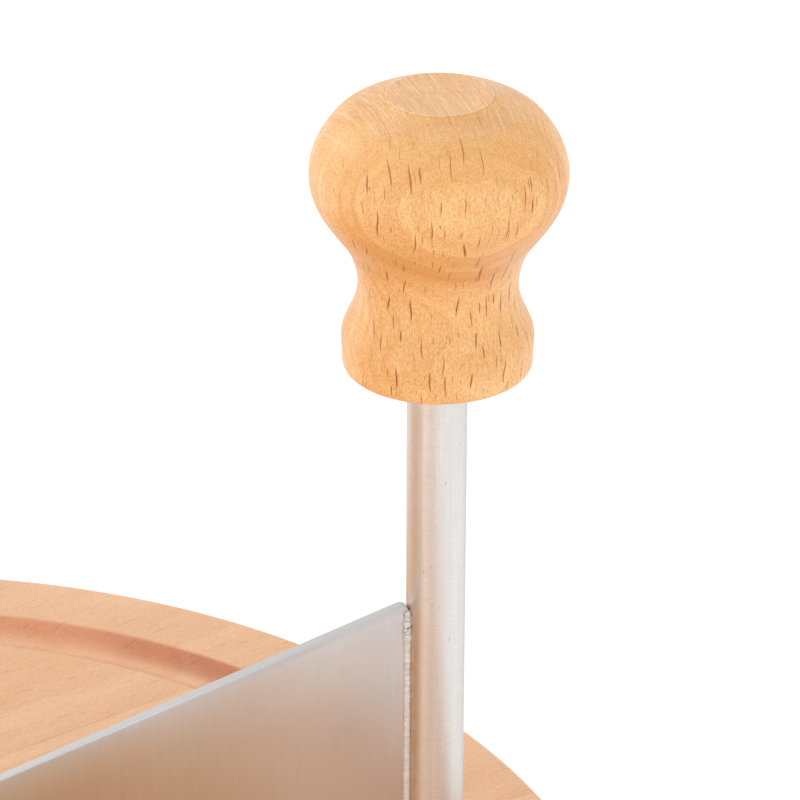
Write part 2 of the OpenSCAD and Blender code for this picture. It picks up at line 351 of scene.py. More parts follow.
def knob_material():
    g = G("beech_knob_lacquered")
    q = g.p
    # the knob's own axes: the rays run almost straight towards -Y (a little to +X)
    a = math.radians(-8.0)
    er = (math.sin(a), -math.cos(a), 0.0)         # towards the bark
    et = (math.cos(a), math.sin(a), 0.0)
    pith = 46.0
    A = g.sub(g.dot(q, et), POST_X * et[0] - 1.0)
    B = g.add(g.sub(g.dot(q, er), POST_X * er[0]), pith)
    Z = g.sub(g.dot(q, (0.0, 0.0, 1.0)), Z_KNOB)
    # rings lean a little, so they open into arches on the face
    B = g.add(B, g.mul(g.sub(Z, 24.0), 0.24))
    nr = g.dot(g.n, er)
    nt_ = g.dot(g.n, et)
    ne = g.dot(g.n, (0.0, 0.0, 1.0))
    col, h, fl = beech(g, A, B, Z, nr, nt_, ne, pith, 1.35,
                       rgb(254, 201, 136), rgb(233, 156, 76), rgb(166, 82, 4), rgb(255, 229, 196),
                       11.3, fleck_amt=1.0, ring_amt=0.85, streak_amt=1.05, shift=5.6, hatch=1.55, fan=15.7)
    # painted shade: a darker band below the bulb; painted light: paler wood at the swell and the foot
    wob = g.noise(g.xyz(g.mul(A, 0.10), g.mul(B, 0.10), g.mul(Z, 0.06)), 1.0, 2.0, 0.5)
    zw = g.add(Z, g.mul(g.sub(wob, 0.5), 7.0))
    painted_shade_band = g.mul(g.step(zw, 14.0, 17.5), g.step(zw, 25.0, 21.5))
    painted_light_swell = g.mul(g.step(zw, 25.0, 28.5), g.step(Z, 37.2, 35.2))
    foot = g.step(Z, 4.5, 0.8)
    f = g.m("MULTIPLY_ADD", painted_shade_band, -0.09, 1.0)
    f = g.m("MULTIPLY_ADD", painted_light_swell, 0.065, f)
    f = g.m("MULTIPLY_ADD", foot, 0.08, f)
    col = g.tone(col, f)
    # the shoulder is the most golden; the sanded flat is paler and pinker, a painted sheen
    gold = g.mul(g.step(ne, 0.30, 0.70), g.step(ne, 0.985, 0.82))
    col = g.mix(g.mul(gold, 0.30), col, rgb(236, 170, 92))
    flat_sheen = g.step(ne, 0.86, 0.97)
    col = g.mix(g.mul(flat_sheen, 0.26), col, rgb(242, 192, 156))
    # the edge of the sanded flat: a pale line, a painted highlight on the broken edge, and a darker ring just outside
    # it
    qx, qy, qz = g.split(q)
    rk = g.m("SQRT", g.add(g.m("POWER", g.sub(qx, POST_X), 2.0), g.m("POWER", qy, 2.0)))
    upper = g.step(Z, 37.2, 37.6)
    patchy_edge = g.noise(g.p, 0.9, 2.0, 0.6)
    lip = g.mul(g.mul(g.step(g.ab(g.sub(rk, 6.86)), 0.05, 0.13, 1.0, 0.0), upper), g.lin(patchy_edge, 0.35, 0.65, 0.10, 0.62))
    low = g.mul(g.mul(g.step(g.ab(g.sub(rk, 7.10)), 0.03, 0.16, 1.0, 0.0), upper), g.lin(patchy_edge, 0.35, 0.65, 0.42, 0.08))
    col = g.mix(lip, col, rgb(255, 228, 196))
    col = g.mix(low, col, rgb(206, 140, 92))
    g.set(Base_Color=col)
    rough = g.add(g.lin(h, 0.1, 0.7, 0.44, 0.52), g.mul(fl, 0.12))
    g.set(Roughness=rough, IOR=1.46, Normal=g.bump(h, 0.35, 0.06))
    g.bsdf.inputs["Coat Weight"].default_value = 0.40
    g.bsdf.inputs["Coat Roughness"].default_value = 0.34
    g.bsdf.inputs["Coat IOR"].default_value = 1.45
    return g.mat


def board_material():
    g = G("beech_board_oiled")
    a = math.radians(16.0)
    eg = (math.cos(a), math.sin(a), 0.0)          # along the grain
    et = (-math.sin(a), math.cos(a), 0.0)
    T0 = g.dot(g.p, et)
    Zg = g.dot(g.p, eg)
    U = g.sub(g.dot(g.p, (0.0, 0.0, 1.0)), Z_TOP)
    # the board is glued up from staves, each with its own heart side
    W = 52.0
    idx = g.m("FLOOR", g.add(g.div(T0, W), 0.37))
    loc = g.sub(g.sub(T0, g.mul(idx, W)), W * 0.13)
    wn = g.white(idx, "1D")
    r1, r2, r3 = g.split(wn.outputs["Color"])
    A = g.add(loc, g.lin(r1, 0.0, 1.0, -16.0, 16.0))
    B = g.add(g.add(U, g.lin(r2, 0.0, 1.0, 34.0, 58.0)), g.mul(Zg, 0.035))
    Z = g.add(Zg, g.mul(r3, 300.0))
    nr = g.dot(g.n, (0.0, 0.0, 1.0))
    nt_ = g.dot(g.n, et)
    ne = g.dot(g.n, eg)
    col, h, fl = beech(g, A, B, Z, nr, nt_, ne, 46.0, 3.4,
                       rgb(248, 202, 164), rgb(234, 178, 134), rgb(186, 120, 76), rgb(252, 220, 186),
                       4.7, fleck_amt=0.42, ring_amt=0.8, streak_amt=0.50, cell=(2.1, 6.5), fw=0.07, fh=1.5,
                       hatch=0.8)
    # painted shade in the cove: darker and redder, most of all up its outer wall
    bx, by, bz = g.split(g.p)
    rb = g.m("SQRT", g.add(g.mul(bx, bx), g.mul(by, by)))
    t = g.div(g.sub(rb, G_MID - G_W / 2), G_W)
    cove_shade = g.add(g.mul(g.step(t, -0.02, 0.10), g.step(t, 0.46, 0.26, 0.06, 0.56)), g.step(t, 0.46, 0.92, 0.0, 0.92))
    cove_shade = g.mul(cove_shade, g.step(t, 0.975, 1.13, 1.0, 0.0))
    wob = g.noise(g.xyz(g.mul(bx, 0.06), g.mul(by, 0.06), 0.0), 1.0, 2.0, 0.5)
    cove_shade = g.mul(cove_shade, g.lin(wob, 0.3, 0.7, 0.75, 1.0))
    col = g.mix(cove_shade, col, g.mix(1.0, col, rgb(243, 213, 206), mode="MULTIPLY"))
    # where the cove runs square across the grain, up its outer wall, it is made darker still
    along = g.div(g.ab(g.add(g.mul(bx, eg[0]), g.mul(by, eg[1]))), g.m("MAXIMUM", rb, 1.0))
    dark = g.mul(g.mul(g.step(along, 0.78, 0.93), g.step(t, 0.52, 0.80)), g.step(t, 0.985, 1.09, 1.0, 0.0))
    dark = g.mul(dark, g.lin(wob, 0.3, 0.7, 0.8, 1.0))
    col = g.mix(dark, col, g.mix(1.0, col, rgb(226, 207, 201), mode="MULTIPLY"))
    col = g.gain(col, g.lin(r3, 0.0, 1.0, 0.965, 1.02))
    # hairline of the glue joint
    edge = g.m("FRACT", g.add(g.div(T0, W), 0.37))
    near = g.mul(g.m("MINIMUM", edge, g.sub(1.0, edge)), W)
    line = g.step(near, 0.04, 0.14, 1.0, 0.0)
    col = g.mix(g.mul(line, 0.30), col, rgb(186, 132, 92))
    g.set(Base_Color=col)
    g.set(Roughness=g.add(g.lin(h, 0.1, 0.7, 0.50, 0.60), g.mul(fl, 0.08)), IOR=1.45,
          Normal=g.bump(h, 0.30, 0.05))
    g.bsdf.inputs["Coat Weight"].default_value = 0.08
    g.bsdf.inputs["Coat Roughness"].default_value = 0.4
    return g.mat


def brushed(name, base, along, rough=0.34, aniso=0.5, uv=True, grain=(0.10, 9.0), amount=1.0, rot=0.0):
    """Steel with fine parallel scratches. along is the direction of the scratches."""
    g = G(name)
    ax = {"x": (1, 0, 0), "y": (0, 1, 0), "z": (0, 0, 1)}[along]
    l = g.dot(g.p, ax)
    rest = [v for v in ((1, 0, 0), (0, 1, 0), (0, 0, 1)) if v != ax]
    a = g.dot(g.p, rest[0])
    b = g.dot(g.p, rest[1])
    s1 = g.noise(g.xyz(g.mul(a, grain[1]), g.mul(b, grain[1]), g.mul(l, grain[0])), 1.0, 3.0, 0.62)
    s2 = g.noise(g.xyz(g.mul(a, grain[1] * 0.22), g.mul(b, grain[1] * 0.22), g.mul(l, grain[0] * 0.35)), 1.0, 2.0, 0.5)
    blot = g.noise(g.xyz(g.mul(a, 0.09), g.mul(b, 0.09), g.mul(l, 0.06)), 1.0, 3.0, 0.55)
    col = g.gain(base, g.lin(s1, 0.25, 0.75, 1.0 - 0.055 * amount, 1.0 + 0.045 * amount))
    col = g.gain(col, g.lin(s2, 0.3, 0.7, 1.0 - 0.03 * amount, 1.0 + 0.03 * amount))
    g.set(Base_Color=col)
    g.bsdf.inputs["Metallic"].default_value = 1.0
    r = g.add(g.lin(s1, 0.25, 0.75, rough - 0.05, rough + 0.06), g.lin(blot, 0.3, 0.7, -0.02, 0.03))
    g.set(Roughness=r)
    g.bsdf.inputs["Anisotropic"].default_value = aniso
    if uv:
        t = g.nt.nodes.new("ShaderNodeTangent")
        t.direction_type = "UV_MAP"
        t.uv_map = "UVMap"
        g.nt.links.new(t.outputs[0], g.bsdf.inputs["Tangent"])
    hh = g.add(g.mul(s1, 0.7), g.mul(s2, 0.3))
    g.set(Normal=g.bump(hh, 0.10 * amount, 0.02))
    return g.mat


def plate_material():
    g = G("stainless_plate_brushed")
    x, y, z = g.split(g.p)
    s1 = g.noise(g.xyz(g.mul(x, 11.0), g.mul(y, 11.0), g.mul(z, 0.30)), 1.0, 3.0, 0.66)
    s2 = g.noise(g.xyz(g.mul(x, 1.3), g.mul(y, 1.3), g.mul(z, 0.06)), 1.0, 3.0, 0.6)
    s3 = g.noise(g.xyz(g.mul(x, 0.07), g.mul(y, 0.07), g.mul(z, 0.05)), 1.0, 2.0, 0.5)
    # the faces are brushed upright, the sheared edges are plain
    face = g.step(g.ab(g.dot(g.n, (0.0, 1.0, 0.0))), 0.6, 0.9)
    k = g.lin(s1, 0.25, 0.75, -0.034, 0.026)
    k2 = g.lin(s2, 0.3, 0.7, -0.020, 0.018)
    col = g.gain(rgb(216, 213, 211), g.add(1.0, g.mul(g.add(k, k2), face)))
    col = g.gain(col, g.lin(face, 0.0, 1.0, 0.95, 1.0))
    # the painted reflections below lie on the side that leads; the other face gets much less of them
    front = g.mul(face, g.lin(g.dot(g.n, (0.0, -1.0, 0.0)), -1.0, 1.0, 0.30, 1.0))
    # painted reflection of the wooden board: faintly straw, low down towards the hub
    cloud = g.noise(g.xyz(g.mul(x, 0.06), g.mul(y, 0.06), g.mul(z, 0.09)), 1.0, 3.0, 0.6)
    low = g.mul(g.step(g.add(z, g.mul(x, 0.10)), Z_EDGE + 34.0, Z_EDGE + 16.0), g.step(x, 74.0, 48.0))
    low = g.mul(g.mul(low, g.lin(cloud, 0.3, 0.7, 0.6, 1.0)), front)
    col = g.mix(low, col, g.mix(1.0, col, rgb(248, 240, 227), mode="MULTIPLY"))
    # painted reflection of the wooden board: a little warmer and darker towards the hub
    hubward = g.mul(g.mul(g.step(x, 52.0, 33.0), front), 0.9)
    col = g.mix(hubward, col, g.mix(1.0, col, rgb(246, 242, 236), mode="MULTIPLY"))
    # painted reflection: cooler and slightly lighter towards the post, away from the upper edge
    down = g.sub(g.sub(Z_CORNER, g.mul(g.sub(POST_X - POST_R, x), math.tan(math.radians(15.5)))), z)
    down = g.add(down, g.mul(g.sub(g.noise(g.xyz(g.mul(x, 0.35), 0.0, 0.0), 1.0, 2.0, 0.6), 0.5), 0.5))
    cool_reflection = g.mul(g.mul(g.step(x, 60.0, 78.0), g.step(down, 5.0, 12.0)), g.mul(front, g.lin(cloud, 0.3, 0.7, 0.5, 1.0)))
    col = g.mix(cool_reflection, col, g.mix(1.0, col, (0.99, 1.03, 1.05, 1.0), mode="MULTIPLY"))
    # painted reflection of the wooden board: warmer and darker on the hub side, away from the upper edge
    straw = g.mul(g.mul(g.step(x, 72.0, 52.0), g.step(down, 1.0, 8.0)), front)
    col = g.mix(straw, col, g.mix(1.0, col, (0.94, 0.905, 0.84, 1.0), mode="MULTIPLY"))
    # painted reflection: a paler, cooler patch in the middle of the face
    mid = g.mul(g.mul(g.step(x, 44.0, 57.0), g.step(x, 80.0, 70.0)), g.mul(g.step(down, 0.4, 1.6), g.step(down, 12.0, 5.0)))
    mid = g.mul(mid, front)
    col = g.mix(mid, col, g.mix(1.0, col, (1.01, 1.07, 1.10, 1.0), mode="MULTIPLY"))
    # painted reflection: a little darker beside the post
    by_post = g.mul(g.mul(g.step(x, 72.0, 82.0), g.step(down, 0.2, 2.2)), g.mul(g.step(down, 22.0, 12.0), front))
    col = g.mix(by_post, col, g.mix(1.0, col, (0.93, 0.92, 0.92, 1.0), mode="MULTIPLY"))
    # painted reflections along the upper edge: a lighter, bluer strip under it and a darker grey band right at it
    inner = g.step(x, 72.0, 45.0)
    band = g.mul(g.mul(g.step(down, 1.7, 0.4), face), g.sub(1.0, g.mul(inner, 0.55)))
    near = g.mul(g.step(down, 5.5, 1.2), face)
    shade = g.mix(inner, (0.985, 1.0, 1.015, 1.0), (0.995, 1.07, 1.13, 1.0))
    col = g.mix(near, col, g.mix(1.0, col, shade, mode="MULTIPLY"))
    col = g.mix(band, col, g.mix(1.0, col, (0.845, 0.845, 0.855, 1.0), mode="MULTIPLY"))
    # painted reflection: a paler, bluer strip right at the upper edge towards the hub
    lip = g.mul(g.mul(g.step(down, 2.0, 0.3), inner), face)
    col = g.mix(lip, col, g.mix(1.0, col, (1.02, 1.07, 1.12, 1.0), mode="MULTIPLY"))
    g.set(Base_Color=col)
    g.bsdf.inputs["Metallic"].default_value = 1.0
    r = g.add(g.lin(s1, 0.25, 0.75, 0.315, 0.385), g.lin(s3, 0.3, 0.7, -0.02, 0.03))
    g.set(Roughness=r)
    g.bsdf.inputs["Anisotropic"].default_value = 0.20
    t = g.nt.nodes.new("ShaderNodeTangent")
    t.direction_type = "UV_MAP"
    t.uv_map = "UVMap"
    g.nt.links.new(t.outputs[0], g.bsdf.inputs["Tangent"])
    g.set(Normal=g.bump(g.mul(g.add(g.mul(s1, 0.7), g.mul(s2, 0.3)), face), 0.12, 0.02))
    return g.mat


def bar_material(name, cx, board_reflection=None, base=(231, 229, 226), rough=(0.36, 0.44), edge=0.72):
    """Ground round bar: fine marks round the bar, a few pits and short scratches along it."""
    g = G(name)
    x, y, z = g.split(g.p)
    xc = g.sub(x, cx)
    ang = g.mul(g.m("ARCTAN2", y, xc), 4.0)
    m0 = g.noise(g.xyz(g.mul(xc, 0.5), g.mul(y, 0.5), g.mul(z, 3.4)), 1.0, 2.0, 0.6)
    m1 = g.noise(g.xyz(g.mul(xc, 0.8), g.mul(y, 0.8), g.mul(z, 9.0)), 1.0, 3.0, 0.6)
    m2 = g.noise(g.xyz(g.mul(xc, 0.25), g.mul(y, 0.25), g.mul(z, 1.3)), 1.0, 2.0, 0.5)
    grain = g.noise(g.xyz(g.mul(ang, 3.2), g.mul(z, 2.2), 1.7), 1.0, 3.0, 0.65)
    # lengthwise draw lines, under the fine marks that run round the bar
    str1 = g.noise(g.xyz(g.mul(ang, 1.15), g.mul(z, 0.035), 5.2), 1.0, 3.0, 0.7)
    str2 = g.noise(g.xyz(g.mul(ang, 3.4), g.mul(z, 0.12), 9.4), 1.0, 2.0, 0.6)
    col = g.gain(rgb(*base), g.lin(m1, 0.25, 0.75, 0.955, 1.035))
    col = g.gain(col, g.lin(grain, 0.3, 0.7, 0.958, 1.025))
    col = g.gain(col, g.lin(m0, 0.3, 0.7, 0.975, 1.018))
    col = g.gain(col, g.lin(str1, 0.3, 0.7, 0.962, 1.030))
    col = g.gain(col, g.lin(str2, 0.3, 0.7, 0.980, 1.015))
    # a drawing mark runs down the bar
    wander = g.noise(g.xyz(0.4, 0.9, g.mul(z, 0.10)), 1.0, 2.0, 0.5)
    broken = g.noise(g.xyz(3.4, 1.9, g.mul(z, 1.1)), 1.0, 3.0, 0.75)
    off = g.ab(g.add(ang, g.add(7.35, g.mul(g.sub(wander, 0.5), 0.9))))
    draw = g.mul(g.step(off, 0.02, 0.10, 1.0, 0.0), g.step(broken, 0.50, 0.66))
    col = g.mix(g.mul(draw, 0.34), col, rgb(150, 140, 134))
    # sparse pits
    v = g.xyz(g.mul(ang, 0.55), g.mul(z, 0.26), 3.3)
    vo = g.voronoi(v, 1.0)
    px, py, pz = g.split(vo.outputs["Position"])
    vx, vy, vz = g.split(v)
    cr, cg, cb = g.split(vo.outputs["Color"])
    da = g.div(g.ab(g.sub(vx, px)), 0.55)
    dz = g.div(g.ab(g.sub(vy, py)), 0.26)
    rr = g.m("SQRT", g.add(g.mul(g.mul(da, da), 1.0), g.mul(g.mul(dz, dz), 0.12)))
    pit = g.mul(g.step(rr, g.lin(cr, 0.0, 1.0, 0.05, 0.13), 0.16, 1.0, 0.0), g.step(cb, 0.93, 0.95))
    col = g.mix(g.mul(pit, 0.30), col, rgb(140, 128, 120))
    # fine long scratches
    sc = g.noise(g.xyz(g.mul(ang, 5.5), g.mul(z, 0.07), 8.1), 1.0, 2.0, 0.6)
    scr = g.step(sc, 0.70, 0.76)
    col = g.mix(g.mul(scr, 0.18), col, rgb(175, 165, 158))
    if board_reflection is not None:
        # painted reflection of the wooden board: a tan tint down the side towards the plate, strongest beside it
        hx, hy, z0, z1 = board_reflection
        side = g.step(g.add(g.mul(xc, hx), g.mul(y, hy)), 2.5, 3.7)
        span = g.mul(g.step(z, z0 - 1.0, z0 + 1.5), g.step(z, z1 - 0.2, z1 + 2.2, 1.0, 0.0))
        wob = g.noise(g.xyz(g.mul(ang, 0.5), g.mul(z, 0.35), 2.0), 1.0, 2.0, 0.5)
        tint = g.mul(g.mul(side, g.lin(span, 0.0, 1.0, 0.38, 1.0)), g.lin(wob, 0.3, 0.7, 0.40, 0.68))
        col = g.mix(tint, col, rgb(230, 184, 132))
        # two faint lines along the bar: a duller one, painted shade, and a brighter one, a painted highlight
        painted_dull_line = g.mul(g.step(g.ab(g.add(ang, 11.1)), 0.95, 0.35), g.sub(1.0, span))
        col = g.mix(painted_dull_line, col, g.mix(1.0, col, (0.94, 0.91, 0.87, 1.0), mode="MULTIPLY"))
        pale = g.step(g.ab(g.add(ang, 9.02)), 0.98, 0.10)
        col = g.gain(col, g.m("MULTIPLY_ADD", pale, 0.115, 1.0))
    g.set(Base_Color=col)
    g.bsdf.inputs["Metallic"].default_value = 1.0
    g.set(Roughness=g.add(g.lin(m1, 0.25, 0.75, rough[0], rough[1]), g.lin(m2, 0.3, 0.7, -0.02, 0.03)))
    g.bsdf.inputs["Anisotropic"].default_value = 0.62
    g.bsdf.inputs["Anisotropic Rotation"].default_value = 0.25
    g.bsdf.inputs["Specular Tint"].default_value = (edge, edge, edge + 0.01, 1.0)
    t = g.nt.nodes.new("ShaderNodeTangent")
    t.direction_type = "UV_MAP"
    t.uv_map = "UVMap"
    g.nt.links.new(t.outputs[0], g.bsdf.inputs["Tangent"])
    h = g.sub(g.sub(g.add(g.mul(m1, 0.5), g.mul(grain, 0.5)), g.mul(pit, 0.9)), g.mul(scr, 0.3))
    g.set(Normal=g.bump(h, 0.12, 0.03))
    return g.mat


def weld_material():
    g = G("weld_bead_bright")
    x, y, z = g.split(g.p)
    big = g.noise(g.p, 1.6, 3.0, 0.6)
    fine = g.noise(g.p, 2.7, 3.0, 0.65)
    vo = g.voronoi(g.gain(g.p, 2.2), 1.0)
    d = vo.outputs["Distance"]
    col = g.mix(g.lin(big, 0.40, 0.75, 0.0, 1.0), rgb(245, 241, 237), rgb(227, 219, 211))
    rip = g.noise(g.xyz(g.mul(x, 0.5), g.mul(y, 0.5), g.mul(z, 1.9)), 1.0, 2.0, 0.7)
    col = g.gain(col, g.lin(rip, 0.35, 0.65, 0.86, 1.02))
    # the start of the run, high on the post, is rough and full of little pits
    rough_end = g.step(z, Z_CORNER - 6.5, Z_CORNER - 3.0)
    pit = g.mul(g.step(fine, 0.54, 0.64), g.lin(rough_end, 0.0, 1.0, 0.14, 1.0))
    col = g.mix(g.mul(pit, 0.80), col, rgb(112, 102, 96))
    g.set(Base_Color=col)
    g.bsdf.inputs["Metallic"].default_value = 0.28
    g.set(Roughness=g.add(g.lin(big, 0.3, 0.7, 0.30, 0.46), g.mul(rough_end, -0.10)))
    h = g.sub(g.mul(big, 0.8), g.add(g.mul(d, 0.3), g.mul(pit, 0.4)))
    g.set(Normal=g.bump(g.mul(h, g.lin(rough_end, 0.0, 1.0, 0.25, 1.0)), 0.5, 0.12))
    return g.mat


def zinc_material():
    g = G("zinc_plate_bright")
    sp = g.noise(g.p, 0.9, 3.0, 0.6)
    fine = g.noise(g.p, 7.0, 2.0, 0.6)
    col = g.mix(g.lin(sp, 0.35, 0.7), rgb(196, 199, 204), rgb(178, 184, 192))
    col = g.gain(col, g.lin(fine, 0.3, 0.7, 0.96, 1.03))
    g.set(Base_Color=col)
    g.bsdf.inputs["Metallic"].default_value = 1.0
    g.set(Roughness=g.lin(fine, 0.3, 0.7, 0.26, 0.38), Normal=g.bump(fine, 0.10, 0.03))
    return g.mat


def nylon_material():
    g = G("nylon_moulded")
    sp = g.noise(g.p, 0.6, 3.0, 0.5)
    fine = g.noise(g.p, 6.0, 2.0, 0.6)
    col = g.mix(g.lin(sp, 0.3, 0.7), rgb(236, 233, 225), rgb(226, 221, 210))
    g.set(Base_Color=col, Roughness=g.lin(fine, 0.3, 0.7, 0.42, 0.54), Normal=g.bump(fine, 0.10, 0.03))
    g.bsdf.inputs["Subsurface Weight"].default_value = 0.15
    g.bsdf.inputs["Subsurface Radius"].default_value = (0.002, 0.0018, 0.0015)
    g.bsdf.inputs["Subsurface Scale"].default_value = 1.0
    return g.mat


def brass_material():
    g = G("brass_turned")
    x, y, z = g.split(g.p)
    t = g.noise(g.xyz(0.0, 0.0, g.mul(z, 8.0)), 1.0, 2.0, 0.6)
    col = g.mix(g.lin(t, 0.3, 0.7), rgb(214, 178, 104), rgb(196, 156, 82))
    g.set(Base_Color=col, Roughness=g.lin(t, 0.3, 0.7, 0.22, 0.34), Normal=g.bump(t, 0.12, 0.02))
    g.bsdf.inputs["Metallic"].default_value = 1.0
    return g.mat


def rubber_material():
    g = G("rubber_moulded")
    fine = g.noise(g.p, 5.0, 3.0, 0.6)
    sp = g.noise(g.p, 0.5, 2.0, 0.5)
    col = g.mix(g.lin(sp, 0.3, 0.7), rgb(40, 40, 42), rgb(52, 51, 52))
    g.set(Base_Color=col, Roughness=g.lin(fine, 0.3, 0.7, 0.62, 0.78), Normal=g.bump(fine, 0.25, 0.05))
    return g.mat


MAT = {
    "knob": knob_material(),
    "board": board_material(),
    "plate": plate_material(),
    "post": bar_material("stainless_post_ground", POST_X, board_reflection=(-1.0, 0.0, sc_lo.z + 4, sc_hi.z - 1)),
    "spindle": bar_material("stainless_spindle_ground", 0.0, base=(213, 210, 207), rough=(0.20, 0.28), edge=0.82),
    "hub": bar_material("stainless_hub_turned", 0.0),
    "washer": brushed("stainless_washer", rgb(204, 201, 198), "x", 0.36, 0.3, uv=False, grain=(0.5, 6.0)),
    "weld": weld_material(),
    "zinc": zinc_material(),
    "nylon": nylon_material(),
    "brass": brass_material(),
    "rubber": rubber_material(),
}

# --------------------------------------------------------------------------
# mesh helpers
# --------------------------------------------------------------------------


def finish_mesh(name, verts, faces, mat, uvs=None, smooth_angle=35.0):
    me = bpy.data.meshes.new(name)
    me.from_pydata([tuple(c * MM for c in v) for v in verts], [], faces)
    me.validate()
    me.update()
    if uvs is not None:
        lay = me.uv_layers.new(name="UVMap")
        for poly in me.polygons:
            us = [uvs[me.loops[li].vertex_index] for li in poly.loop_indices]
            # a face that crosses the seam keeps its own side of it
            umax = max(u for u, v in us)
            for li, (u, v) in zip(poly.loop_indices, us):
                if umax - u > 0.5:
                    u += 1.0
                lay.data[li].uv = (u, v)
    ob = bpy.data.objects.new(name, me)
    bpy.context.scene.collection.objects.link(ob)
    me.materials.append(mat)
    bm = bmesh.new()
    bm.from_mesh(me)
    bmesh.ops.recalc_face_normals(bm, faces=bm.faces)
    lim = math.radians(smooth_angle)
    for f in bm.faces:
        f.smooth = True
    for e in bm.edges:
        if len(e.link_faces) == 2:
            e.smooth = e.calc_face_angle(0.0) < lim
    bm.to_mesh(me)
    bm.free()
    me.update()
    return ob


def lathe(name, prof, mat, cx=0.0, cy=0.0, seg=96, closed=True, smooth_angle=35.0, warp=None):
    """Turns a closed profile of (r, z) round a vertical axis. A point with r = 0 is a pole."""
    verts, faces, uvs, rows = [], [], [], []
    n = len(prof)
    length = [0.0]
    for a, b in zip(prof, prof[1:]):
        length.append(length[-1] + math.hypot(b[0] - a[0], b[1] - a[1]))
    for i, (r, z) in enumerate(prof):
        if r < 1e-6:
            rows.append([len(verts)] * seg)
            verts.append((cx, cy, z))
            uvs.append((0.5, length[i] * 0.01))
        else:
            row = []
            for k in range(seg):
                t = 2 * math.pi * k / seg
                rr, zz = (r, z) if warp is None else warp(r, z, t)
                row.append(len(verts))
                verts.append((cx + rr * math.cos(t), cy + rr * math.sin(t), zz))
                uvs.append((k / seg, length[i] * 0.01))
            rows.append(row)
    last = n if closed else n - 1
    for i in range(last):
        a, b = rows[i], rows[(i + 1) % n]
        for k in range(seg):
            k2 = (k + 1) % seg
            q = [a[k], a[k2], b[k2], b[k]]
            q = [v for j, v in enumerate(q) if v not in q[:j]]
            if len(q) > 2:
                faces.append(q)
    return finish_mesh(name, verts, faces, mat, uvs, smooth_angle)


def arc(cx, cy, r, a0, a1, n=8):
    return [(cx + r * math.cos(math.radians(a0 + (a1 - a0) * i / n)),
             cy + r * math.sin(math.radians(a0 + (a1 - a0) * i / n))) for i in range(n + 1)]


def cr(a, b, c, d, t):
    return 0.5 * (2 * b + (c - a) * t + (2 * a - 5 * b + 4 * c - d) * t * t + (3 * b - a - 3 * c + d) * t ** 3)


def smooth_path(p, n):
    out = []
    for i in range(len(p) - 1):
        a, b, c, d = p[max(i - 1, 0)], p[i], p[i + 1], p[min(i + 2, len(p) - 1)]
        for k in range(n):
            t = k / n
            out.append((cr(a[0], b[0], c[0], d[0], t), cr(a[1], b[1], c[1], d[1], t)))
    out.append(p[-1])
    return out


def rows_to(prof, step):
    """Adds points along the straight stretches of a profile so that no step is longer."""
    out = []
    for a, b in zip(prof, prof[1:]):
        n = max(1, int(math.ceil(math.hypot(b[0] - a[0], b[1] - a[1]) / step)))
        out += [(a[0] + (b[0] - a[0]) * i / n, a[1] + (b[1] - a[1]) * i / n) for i in range(n)]
    out.append(prof[-1])
    return out


# --------------------------------------------------------------------------
# board
# --------------------------------------------------------------------------

WELL_R, WELL_H, HOLE_R = 13.0, 9.0, 3.1
EDGE_R = 2.5
G_R = (G_W * G_W / 4 + G_D * G_D) / (2 * G_D)


def board_profile():
    """From the spindle hole on top, over the groove and the rim, and back underneath."""
    lip = 0.45
    gc = Z_TOP - G_D + G_R
    half = math.degrees(math.asin((G_W / 2) / G_R))
    p = [(HOLE_R, Z_TOP)]
    p += rows_to([(HOLE_R, Z_TOP), (G_MID - G_W / 2 - 2.0, Z_TOP)], 6.0)[1:]
    # small round lip, cove, small round lip
    p += [(G_MID - G_W / 2 - lip, Z_TOP), (G_MID - G_W / 2 - lip * 0.35, Z_TOP - lip * 0.10),
          (G_MID - G_W / 2 + lip * 0.12, Z_TOP - lip * 0.55)]
    p += [q for q in arc(G_MID, gc, G_R, -90 - half + 7, -90 + half - 7, 22)]
    p += [(G_MID + G_W / 2 - lip * 0.12, Z_TOP - lip * 0.55), (G_MID + G_W / 2 + lip * 0.35, Z_TOP - lip * 0.10),
          (G_MID + G_W / 2 + lip, Z_TOP)]
    p += [(G_MID + G_W / 2 + 2.0, Z_TOP)]
    p += [(BOARD_R - EDGE_R - 1.0, Z_TOP)]
    p += arc(BOARD_R - EDGE_R, Z_TOP - EDGE_R, EDGE_R, 90, 0, 10)
    p += rows_to([(BOARD_R, Z_TOP - EDGE_R), (BOARD_R, Z_UNDER + 2.0)], 4.0)[1:-1]
    p += arc(BOARD_R - 2.0, Z_UNDER + 2.0, 2.0, 0, -90, 8)
    p += rows_to([(BOARD_R - 2.0, Z_UNDER), (WELL_R + 0.3, Z_UNDER)], 8.0)[1:]
    p += [(WELL_R, Z_UNDER + 0.3), (WELL_R, Z_UNDER + WELL_H), (HOLE_R, Z_UNDER + WELL_H)]
    return p


board = lathe("board_turned", board_profile(), MAT["board"], seg=256, smooth_angle=30)
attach(board, "base")
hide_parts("board")

# --------------------------------------------------------------------------
# knob
# --------------------------------------------------------------------------

KNOB_PTS = [(12.05, 0), (12.35, 0.25), (12.5, 0.8), (12.55, 2.2), (12.65, 4.4), (12.4, 5.65),
            (11.8, 7.05), (10.9, 9.25), (10.5, 11.45), (10.6, 13.25), (11.1, 15.45), (12.1, 17.65),
            (14, 20.35), (15.7, 23.05), (16.6, 25.65), (16.7, 28.35), (16, 30.95), (14.7, 33.25),
            (13.1, 35.1), (10.9, 36.45), (8.6, 37.4), (6.85, 38.25)]
FLAT_R, FLAT_Z = 6.85, 38.25


